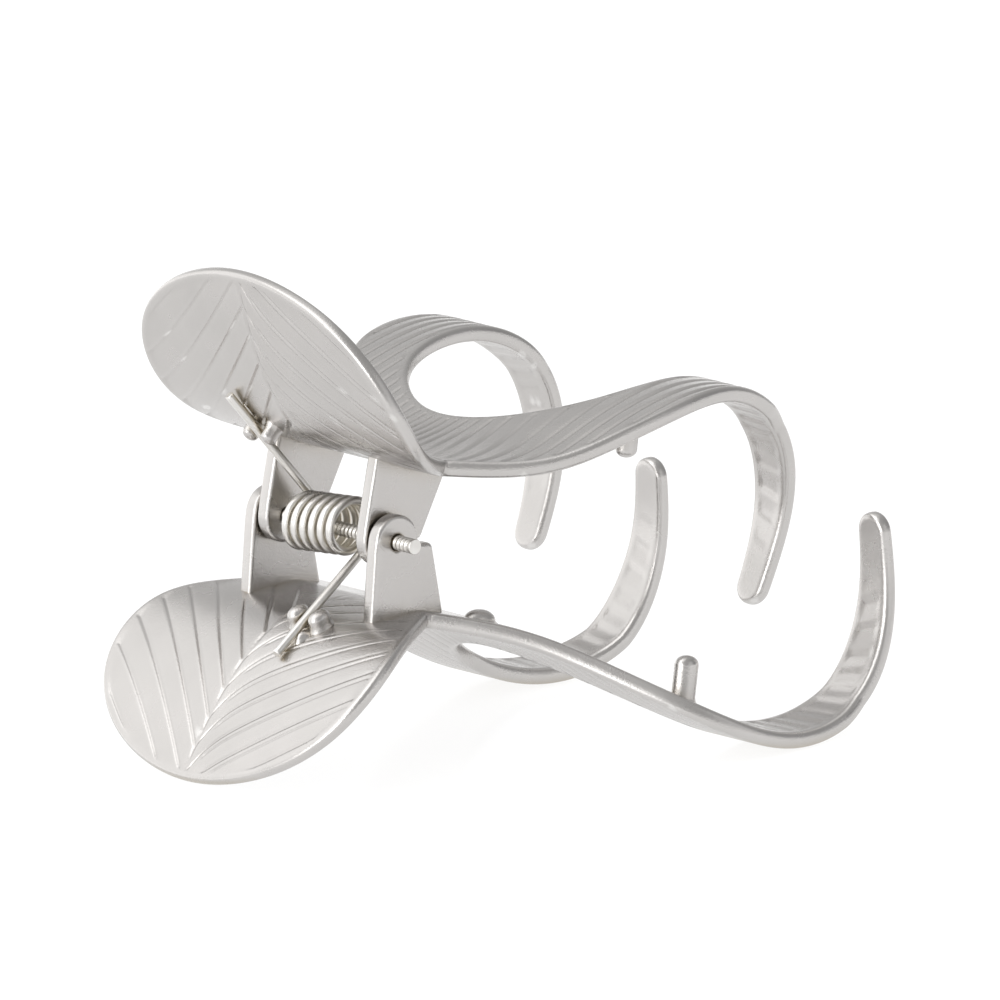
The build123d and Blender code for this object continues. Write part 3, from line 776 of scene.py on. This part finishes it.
def satin_metal(name, colour, shade_colour_in_recesses, roughness, grain, grain_size, spread):
    """Satin plate: a fine grain, uneven gloss and a random mottle, with a painted highlight on sharp edges, painted
    shade in the grooves and a warm painted shade in the recesses.
    """
    material = bpy.data.materials.new(name)
    material.use_nodes = True
    tree = material.node_tree
    link = tree.links.new
    shader = tree.nodes["Principled BSDF"]
    shader.inputs["Metallic"].default_value = 1.0
    place = node(tree, "ShaderNodeTexCoord")
    cloud = node(tree, "ShaderNodeTexNoise", in_Scale=130.0, in_Detail=4.0, in_Roughness=0.55)
    fine = node(tree, "ShaderNodeTexNoise", in_Scale=1 / (grain_size * MM), in_Detail=3.0, in_Roughness=0.6)
    for texture in (cloud, fine):
        link(place.outputs["Object"], texture.inputs["Vector"])
    # Painted shade: ambient occlusion mixes a darker, warmer colour in where recesses and crevices are sheltered.
    occlusion_for_shade = node(tree, "ShaderNodeAmbientOcclusion", samples=8)
    occlusion_for_shade.inputs["Distance"].default_value = 0.003
    depth = node(tree, "ShaderNodeMapRange", in_From_Min=0.1, in_From_Max=0.8)
    link(occlusion_for_shade.outputs["AO"], depth.inputs["Value"])
    recess_painted_shade = node(tree, "ShaderNodeMix", data_type="RGBA")
    recess_painted_shade.inputs[6].default_value = (*shade_colour_in_recesses, 1)
    recess_painted_shade.inputs[7].default_value = (*colour, 1)
    link(depth.outputs["Result"], recess_painted_shade.inputs[0])
    # Painted highlight: where the surface is sharply convex, pointiness screens a pale grey over the colour along the
    # edges.
    painted_light_pointiness = node(tree, "ShaderNodeNewGeometry")
    edge_highlight_mask = node(tree, "ShaderNodeMapRange", in_From_Min=0.5, in_From_Max=0.62, in_To_Min=0.0, in_To_Max=1.0)
    link(painted_light_pointiness.outputs["Pointiness"], edge_highlight_mask.inputs["Value"])
    painted_edge_highlight = node(tree, "ShaderNodeMix", data_type="RGBA", blend_type="SCREEN")
    painted_edge_highlight.inputs[7].default_value = (0.35, 0.345, 0.335, 1)
    link(recess_painted_shade.outputs[2], painted_edge_highlight.inputs[6])
    link(edge_highlight_mask.outputs["Result"], painted_edge_highlight.inputs[0])
    # Painted shade: where the surface is concave, in the grooves of the veins and flutes, the colour is darkened to as
    # little as 0.6.
    groove_painted_shade = node(tree, "ShaderNodeMapRange", in_From_Min=0.42, in_From_Max=0.49, in_To_Min=0.6, in_To_Max=1.0)
    link(painted_light_pointiness.outputs["Pointiness"], groove_painted_shade.inputs["Value"])
    mottle = node(tree, "ShaderNodeMapRange", in_From_Min=0.3, in_From_Max=0.7, in_To_Min=0.95, in_To_Max=1.03)
    link(cloud.outputs["Fac"], mottle.inputs["Value"])
    # The painted groove shade times the random mottle, which is the plate's own uneven tone.
    groove_shade_and_mottle = node(tree, "ShaderNodeMath", operation="MULTIPLY")
    link(groove_painted_shade.outputs["Result"], groove_shade_and_mottle.inputs[0])
    link(mottle.outputs["Result"], groove_shade_and_mottle.inputs[1])
    shade = node(tree, "ShaderNodeVectorMath", operation="SCALE")
    link(painted_edge_highlight.outputs[2], shade.inputs[0])
    link(groove_shade_and_mottle.outputs["Value"], shade.inputs["Scale"])
    link(shade.outputs["Vector"], shader.inputs["Base Color"])
    gloss = node(
        tree, "ShaderNodeMapRange", in_From_Min=0.3, in_From_Max=0.7,
        in_To_Min=roughness - spread, in_To_Max=roughness + spread,
    )
    link(cloud.outputs["Fac"], gloss.inputs["Value"])
    link(gloss.outputs["Result"], shader.inputs["Roughness"])
    bump = node(tree, "ShaderNodeBump", in_Strength=grain, in_Distance=0.00004)
    link(fine.outputs["Fac"], bump.inputs["Height"])
    link(bump.outputs["Normal"], shader.inputs["Normal"])
    return material


def plated_silver(settings):
    """The finish of both castings."""
    return bpy.data.materials.get("satin_silver_plate") or satin_metal(
        "satin_silver_plate", tuple(settings.colour), tuple(settings.painted_recess_shade_colour), settings.roughness, 0.7, 0.22,
        0.05,
    )


# ---------------------------------------------------------------- settings

class HairClawCastings(bpy.types.PropertyGroup):
    """The two castings"""
    mesh_step: bpy.props.FloatProperty(
        name="Mesh step", description="Spacing of the mesh on the jaws", default=0.00032, min=0.00015, max=0.002,
        unit="LENGTH", precision=5)
    leaf_relief: bpy.props.FloatProperty(
        name="Leaf relief", description="Depth of the leaf pattern on the pads", default=1.0, min=0.0, max=2.0,
        subtype="FACTOR")
    flute_relief: bpy.props.FloatProperty(
        name="Flute relief", description="Depth of the flutes on the jaws", default=1.0, min=0.0, max=2.0,
        subtype="FACTOR")
    rim_squareness: bpy.props.FloatProperty(
        name="Rim squareness", description="2 gives a half-round rim, more a squarer one", default=2.9, min=2.0,
        max=6.0)
    colour: bpy.props.FloatVectorProperty(
        name="Plate colour", description="Colour of the silver plate", default=(0.535, 0.517, 0.503), size=3,
        subtype="COLOR", min=0.0, max=1.0)
    # Painted shade: the darker, warmer colour mixed into the plate where ambient occlusion finds a recess.
    painted_recess_shade_colour: bpy.props.FloatVectorProperty(
        name="Recess colour", description="Warm tint of the plate where it is sheltered", default=(0.46, 0.42, 0.36),
        size=3, subtype="COLOR", min=0.0, max=1.0)
    roughness: bpy.props.FloatProperty(
        name="Satin", description="Roughness of the plate", default=0.26, min=0.05, max=1.0, subtype="FACTOR")


class HairClawHinge(bpy.types.PropertyGroup):
    """The pin and the spring"""
    thread_depth: bpy.props.FloatProperty(
        name="Thread depth", description="Depth of the pin's thread", default=THREAD_DEPTH * MM, min=0.0, max=0.0004,
        unit="LENGTH", precision=5)
    pin_colour: bpy.props.FloatVectorProperty(
        name="Pin colour", description="Colour of the pin", default=(0.66, 0.64, 0.61), size=3, subtype="COLOR",
        min=0.0, max=1.0)
    wire_radius: bpy.props.FloatProperty(
        name="Wire radius", description="Radius of the spring's wire", default=WIRE_RADIUS * MM, min=0.0002,
        max=0.0006, unit="LENGTH", precision=5)
    wire_colour: bpy.props.FloatVectorProperty(
        name="Wire colour", description="Colour of the spring", default=(0.74, 0.725, 0.70), size=3, subtype="COLOR",
        min=0.0, max=1.0)


class HairClawStage(bpy.types.PropertyGroup):
    """Floor, light and camera"""
    floor_colour: bpy.props.FloatVectorProperty(
        name="Floor colour", description="Colour of the studio floor", default=(0.2, 0.2, 0.2), size=3,
        subtype="COLOR", min=0.0, max=1.0)
    floor_glow: bpy.props.FloatProperty(
        name="Floor glow", description="Light of the floor's own, as of a lit table", default=0.83, min=0.0, max=3.0)
    floor_size: bpy.props.FloatProperty(
        name="Floor size", description="Width of the studio floor", default=6.0, min=0.5, max=20.0, unit="LENGTH")
    sky_strength: bpy.props.FloatProperty(
        name="Room light", description="Strength of the light from the whole room", default=1.07, min=0.0, max=5.0)
    key_power: bpy.props.FloatProperty(
        name="Key light", description="Power of the large soft light", default=2.0, min=0.0, max=100.0,
        unit="POWER")
    distance: bpy.props.FloatProperty(
        name="View distance", description="Camera distance", default=5.208, min=0.2, max=20.0, unit="LENGTH")


# ---------------------------------------------------------------- operators

class HAIRCLAW_OT_upper_jaw(bpy.types.Operator):
    """Build the upper casting: leaf pad, arms with tines, inner ears, lugs and pegs"""
    bl_idname = "hair_claw.upper_jaw"
    bl_label = "Upper casting"

    def execute(self, context):
        build_casting("upper_casting", "upper_half", "upper_jaw", False, context.scene.hair_claw_castings)
        return {"FINISHED"}


class HAIRCLAW_OT_lower_jaw(bpy.types.Operator):
    """Build the lower casting: leaf pad, arms with tines, outer ears, lugs and pegs"""
    bl_idname = "hair_claw.lower_jaw"
    bl_label = "Lower casting"

    def execute(self, context):
        build_casting("lower_casting", "lower_half", "lower_jaw", True, context.scene.hair_claw_castings)
        return {"FINISHED"}


class HAIRCLAW_OT_hinge_pin(bpy.types.Operator):
    """Build the threaded hinge pin"""
    bl_idname = "hair_claw.hinge_pin"
    bl_label = "Hinge pin"

    def execute(self, context):
        settings = context.scene.hair_claw_hinge
        # The third colour is the pin's painted shade in its recesses.
        finish = satin_metal("pin_metal", tuple(settings.pin_colour), (0.5, 0.46, 0.39), 0.3, 0.35, 0.1, 0.06)
        points, faces = pin_shell(settings)
        new_piece("threaded_pin", points, faces, finish, "lower_half", "hinge_pin")
        return {"FINISHED"}


class HAIRCLAW_OT_spring(bpy.types.Operator):
    """Build the torsion spring between the two castings"""
    bl_idname = "hair_claw.spring"
    bl_label = "Torsion spring"

    def execute(self, context):
        settings = context.scene.hair_claw_hinge
        # The third colour is the spring's painted shade between its turns and in its recesses.
        finish = satin_metal("spring_metal", tuple(settings.wire_colour), (0.72, 0.65, 0.50), 0.3, 0.2, 0.2, 0.04)
        points, faces = wire_shell(spring_path(), settings.wire_radius / MM)
        spring = new_piece("coil_spring", points, faces, finish)
        ends = to_frame([(0, COIL_MIDDLE - COIL_LENGTH / 2, 0), (0, COIL_MIDDLE + COIL_LENGTH / 2, 0)])
        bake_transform(spring)
        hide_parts("torsion_spring")
        return {"FINISHED"}


def area_light(name, place, aim, size, power):
    """A soft rectangular light that faces the aim."""
    light = bpy.data.lights.new(name, "AREA")
    light.shape = "RECTANGLE"
    light.size, light.size_y = size
    light.energy = power
    lamp = bpy.data.objects.new(name, light)
    bpy.context.scene.collection.objects.link(lamp)
    lamp.location = place
    lamp.rotation_euler = (Vector(aim) - Vector(place)).to_track_quat("-Z", "Y").to_euler()


def studio_floor(scene, settings):
    """The pale, slightly glossy table."""
    size = settings.floor_size / 2
    mesh = bpy.data.meshes.new("studio_floor")
    mesh.from_pydata([(-size, -size, 0), (size, -size, 0), (size, size, 0), (-size, size, 0)], [], [(0, 1, 2, 3)])
    floor = bpy.data.objects.new("studio_floor", mesh)
    floor.location.z = -0.00005
    scene.collection.objects.link(floor)
    paper = bpy.data.materials.new("studio_floor_white")
    paper.use_nodes = True
    shader = paper.node_tree.nodes["Principled BSDF"]
    shader.inputs["Base Color"].default_value = (*settings.floor_colour, 1)
    shader.inputs["Roughness"].default_value = 0.16
    shader.inputs["IOR"].default_value = 1.12
    shader.inputs["Emission Color"].default_value = (1, 1, 1, 1)
    shader.inputs["Emission Strength"].default_value = settings.floor_glow
    mesh.materials.append(paper)


def studio_room(scene, settings):
    """The room's light: bright behind the clip to the left, darker to the front, with soft panels."""
    world = bpy.data.worlds.new("studio_room")
    scene.world = world
    world.use_nodes = True
    tree = world.node_tree
    back = tree.nodes["Background"]
    place = node(tree, "ShaderNodeTexCoord")
    towards = node(tree, "ShaderNodeVectorMath", operation="DOT_PRODUCT")
    towards.inputs[1].default_value = Vector(BACKLIGHT).normalized()
    tree.links.new(place.outputs["Generated"], towards.inputs[0])
    share = node(tree, "ShaderNodeMapRange", in_From_Min=-1.0, in_From_Max=1.0)
    tree.links.new(towards.outputs["Value"], share.inputs["Value"])
    ramp = node(tree, "ShaderNodeValToRGB")
    tree.links.new(share.outputs["Result"], ramp.inputs["Fac"])
    stops = ramp.color_ramp.elements
    stops[0].position, stops[0].color = 0.0, (0.34, 0.34, 0.345, 1)
    stops[1].position, stops[1].color = 1.0, (0.92, 0.92, 0.915, 1)
    for position, level in ROOM_LEVELS:
        stops.new(position).color = (level, level, level * 0.995, 1)
    split = node(tree, "ShaderNodeSeparateXYZ")
    tree.links.new(place.outputs["Generated"], split.inputs["Vector"])
    low = node(tree, "ShaderNodeMapRange", in_From_Min=0.32, in_From_Max=0.04, interpolation_type="SMOOTHSTEP")
    tree.links.new(split.outputs["Z"], low.inputs["Value"])
    behind = node(
        tree, "ShaderNodeMapRange", in_From_Min=0.1, in_From_Max=0.8, in_To_Max=0.5,
        interpolation_type="SMOOTHSTEP",
    )
    tree.links.new(split.outputs["Y"], behind.inputs["Value"])
    band = node(tree, "ShaderNodeMath", operation="MULTIPLY")
    tree.links.new(low.outputs["Result"], band.inputs[0])
    tree.links.new(behind.outputs["Result"], band.inputs[1])
    total = node(tree, "ShaderNodeMix", data_type="RGBA", blend_type="ADD")
    total.inputs[7].default_value = (1, 1, 1, 1)
    tree.links.new(band.outputs["Value"], total.inputs[0])
    tree.links.new(ramp.outputs["Color"], total.inputs[6])
    colour = total.outputs[2]
    for heading, inner, outer, level in LIGHT_PANELS:
        facing = node(tree, "ShaderNodeVectorMath", operation="DOT_PRODUCT")
        facing.inputs[1].default_value = Vector(heading).normalized()
        tree.links.new(place.outputs["Generated"], facing.inputs[0])
        panel = node(
            tree, "ShaderNodeMapRange", in_From_Min=outer, in_From_Max=inner, in_To_Max=level,
            interpolation_type="SMOOTHSTEP",
        )
        tree.links.new(facing.outputs["Value"], panel.inputs["Value"])
        added = node(tree, "ShaderNodeVectorMath", operation="ADD")
        tree.links.new(colour, added.inputs[0])
        tree.links.new(panel.outputs["Result"], added.inputs[1])
        colour = added.outputs["Vector"]
    tree.links.new(colour, back.inputs["Color"])
    back.inputs["Strength"].default_value = settings.sky_strength


def studio_camera(scene, settings):
    """The camera. Returns its aim and the directions away from the clip and to the right."""
    def turned_axis(x, y, z):
        """A direction in the clip's frame as the clip stands."""
        return Vector((
            x * math.cos(PITCH) + z * math.sin(PITCH), y, -x * math.sin(PITCH) + z * math.cos(PITCH),
        ))

    away = turned_axis(*VIEW_AWAY).normalized()
    right = turned_axis(*VIEW_RIGHT)
    right = (right - away * right.dot(away)).normalized()
    up = away.cross(right)
    aim = Vector(to_frame([(15, 0, 0)])[0]) + right * 0.00701 + up * 0.00288
    lens = bpy.data.cameras.new("studio_camera")
    lens.sensor_width = SENSOR
    lens.lens = SENSOR * settings.distance / VIEW_WIDTH
    lens.clip_end = 100.0
    camera = bpy.data.objects.new("studio_camera", lens)
    scene.collection.objects.link(camera)
    turn = Matrix((right, up, away)).transposed().to_4x4()
    camera.matrix_world = Matrix.Translation(aim + away * settings.distance) @ turn
    scene.camera = camera
    return aim, away, right


def studio_lights(settings, aim, away, right):
    """Three soft lights round the clip."""
    power = settings.key_power
    side = right.copy()
    side.z = 0
    front = away.copy()
    front.z = 0
    area_light("key_softbox", aim - side * 0.9 + front * 0.7 + Vector((0, 0, 0.9)), aim,
               (0.9, 0.9), power)
    area_light("fill_softbox", aim + side * 1.1 + front * 0.5 + Vector((0, 0, 0.35)), aim,
               (0.7, 0.9), power * 0.35)
    area_light("top_softbox", aim - front * 0.5 + Vector((0, 0, 1.2)), aim,
               (0.8, 0.8), power * 0.3)


class HAIRCLAW_OT_stage(bpy.types.Operator):
    """Build the pale floor, the soft light and the camera"""
    bl_idname = "hair_claw.stage"
    bl_label = "Stage"

    def execute(self, context):
        scene = context.scene
        settings = scene.hair_claw_stage
        studio_floor(scene, settings)
        studio_room(scene, settings)
        scene.view_settings.view_transform = "Standard"
        studio_lights(settings, *studio_camera(scene, settings))
        return {"FINISHED"}


class HAIRCLAW_PT_sidebar(bpy.types.Panel):
    """Sizes, colours and pieces of the hair claw"""
    bl_label = "Hair Claw"
    bl_idname = "HAIRCLAW_PT_sidebar"
    bl_space_type = "VIEW_3D"
    bl_region_type = "UI"
    bl_category = "Hair Claw"

    def draw(self, context):
        layout = self.layout
        scene = context.scene
        for group in (scene.hair_claw_castings, scene.hair_claw_hinge, scene.hair_claw_stage):
            box = layout.box()
            for name in group.__annotations__:
                box.prop(group, name)
        for operator in OPERATORS:
            layout.operator(operator.bl_idname)


OPERATORS = (
    HAIRCLAW_OT_upper_jaw, HAIRCLAW_OT_lower_jaw, HAIRCLAW_OT_hinge_pin, HAIRCLAW_OT_spring, HAIRCLAW_OT_stage,
)
GROUPS = (
    ("hair_claw_castings", HairClawCastings), ("hair_claw_hinge", HairClawHinge), ("hair_claw_stage", HairClawStage),
)


def register():
    for name, group in GROUPS:
        bpy.utils.register_class(group)
        setattr(bpy.types.Scene, name, bpy.props.PointerProperty(type=group))
    for operator in OPERATORS:
        bpy.utils.register_class(operator)
    bpy.utils.register_class(HAIRCLAW_PT_sidebar)


def unregister():
    bpy.utils.unregister_class(HAIRCLAW_PT_sidebar)
    for operator in reversed(OPERATORS):
        bpy.utils.unregister_class(operator)
    for name, group in reversed(GROUPS):
        delattr(bpy.types.Scene, name)
        bpy.utils.unregister_class(group)


def main():
    register()
    bpy.ops.hair_claw.upper_jaw()
    bpy.ops.hair_claw.lower_jaw()
    bpy.ops.hair_claw.hinge_pin()
    bpy.ops.hair_claw.spring()
    bpy.ops.hair_claw.stage()


if __name__ == "__main__":
    main()
